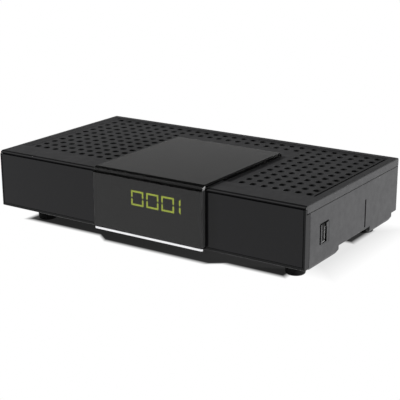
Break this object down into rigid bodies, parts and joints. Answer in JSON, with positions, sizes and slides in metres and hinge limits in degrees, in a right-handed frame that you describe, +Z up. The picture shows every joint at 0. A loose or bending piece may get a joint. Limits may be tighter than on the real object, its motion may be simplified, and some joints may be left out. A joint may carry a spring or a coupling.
{
  "type": "satellite television receiver",
  "caption": "Flat set-top satellite receiver with perforated lid, raised glossy centre cover over a digit display, upright memory-stick socket and rear sockets.",
  "frame": {"origin": "on the floor, under the middle of the whole outline", "axes": "+X to the right seen from the front, +Y to the rear panel with its sockets, +Z up"},
  "size_m": [0.251, 0.15, 0.0565],
  "materials": {
    "matte_black": "fine matt moulded grain, charcoal black",
    "satin_black": "smooth satin moulding, black",
    "gloss_black": "polished piano black",
    "rubber": "dull black",
    "chrome": "bright",
    "steel": "plain plated",
    "aluminium": "satin",
    "circuit_green": "green solder-resist over laminate",
    "dark_glass": "dark smoked resin",
    "white_plastic": "plain",
    "orange_plastic": "plain",
    "grey_plastic": "plain"
  },
  "bodies": {
    "housing": {"top_cover": "matte_black", "base_shell": "matte_black", "front_frame": "satin_black", "left_front_panel": "gloss_black", "right_front_panel": "gloss_black", "centre_cover": "gloss_black", "bright_strip": "chrome", "rear_panel": "matte_black", "main_board": "circuit_green", "main_chip": "matte_black", "heat_sink": "aluminium", "capacitor_left": "aluminium", "capacitor_middle": "aluminium", "capacitor_right": "aluminium", "power_inductor": "grey_plastic", "display_board": "circuit_green", "display_module": "dark_glass", "remote_eye": "dark_glass", "ribbon_header": "white_plastic", "ribbon_cable": "grey_plastic", "usb_shell": "steel", "usb_tongue": "white_plastic", "aerial_socket": "steel", "aerial_nut": "steel", "tuner_can": "steel", "hdmi_shell": "steel", "hdmi_tongue": "matte_black", "scart_socket": "matte_black", "audio_socket_body": "orange_plastic", "audio_socket_ring": "steel", "power_socket_body": "matte_black", "power_socket_pin": "steel", "rocker_housing": "matte_black", "standby_switch": "matte_black", "foot_front_left": "rubber", "foot_screw_front_left": "steel", "board_screw_front_left": "steel", "foot_front_right": "rubber", "foot_screw_front_right": "steel", "board_screw_front_right": "steel", "foot_rear_left": "rubber", "foot_screw_rear_left": "steel", "board_screw_rear_left": "steel", "foot_rear_right": "rubber", "foot_screw_rear_right": "steel", "board_screw_rear_right": "steel", "display_screw_left": "steel", "cover_screw_left": "steel", "display_screw_right": "steel", "cover_screw_right": "steel"},
    "rocker": {"power_rocker": "satin_black"},
    "key": {"standby_key": "satin_black", "switch_plunger": "grey_plastic"}
  },
  "joints": [
    {"name": "power_rocker_hinge", "type": "hinge", "parent": "housing", "child": "rocker", "pos_m": [0.0945, 0.0615, 0.035], "axis": [1, 0, 0], "range_deg": [-14, 0]},
    {"name": "standby_key_slide", "type": "slide", "parent": "housing", "child": "key", "axis": [1, 0, 0], "range_m": [0, 0.0005], "stiffness_N_per_m": 1000, "springref_m": -0.0005}
  ]
}
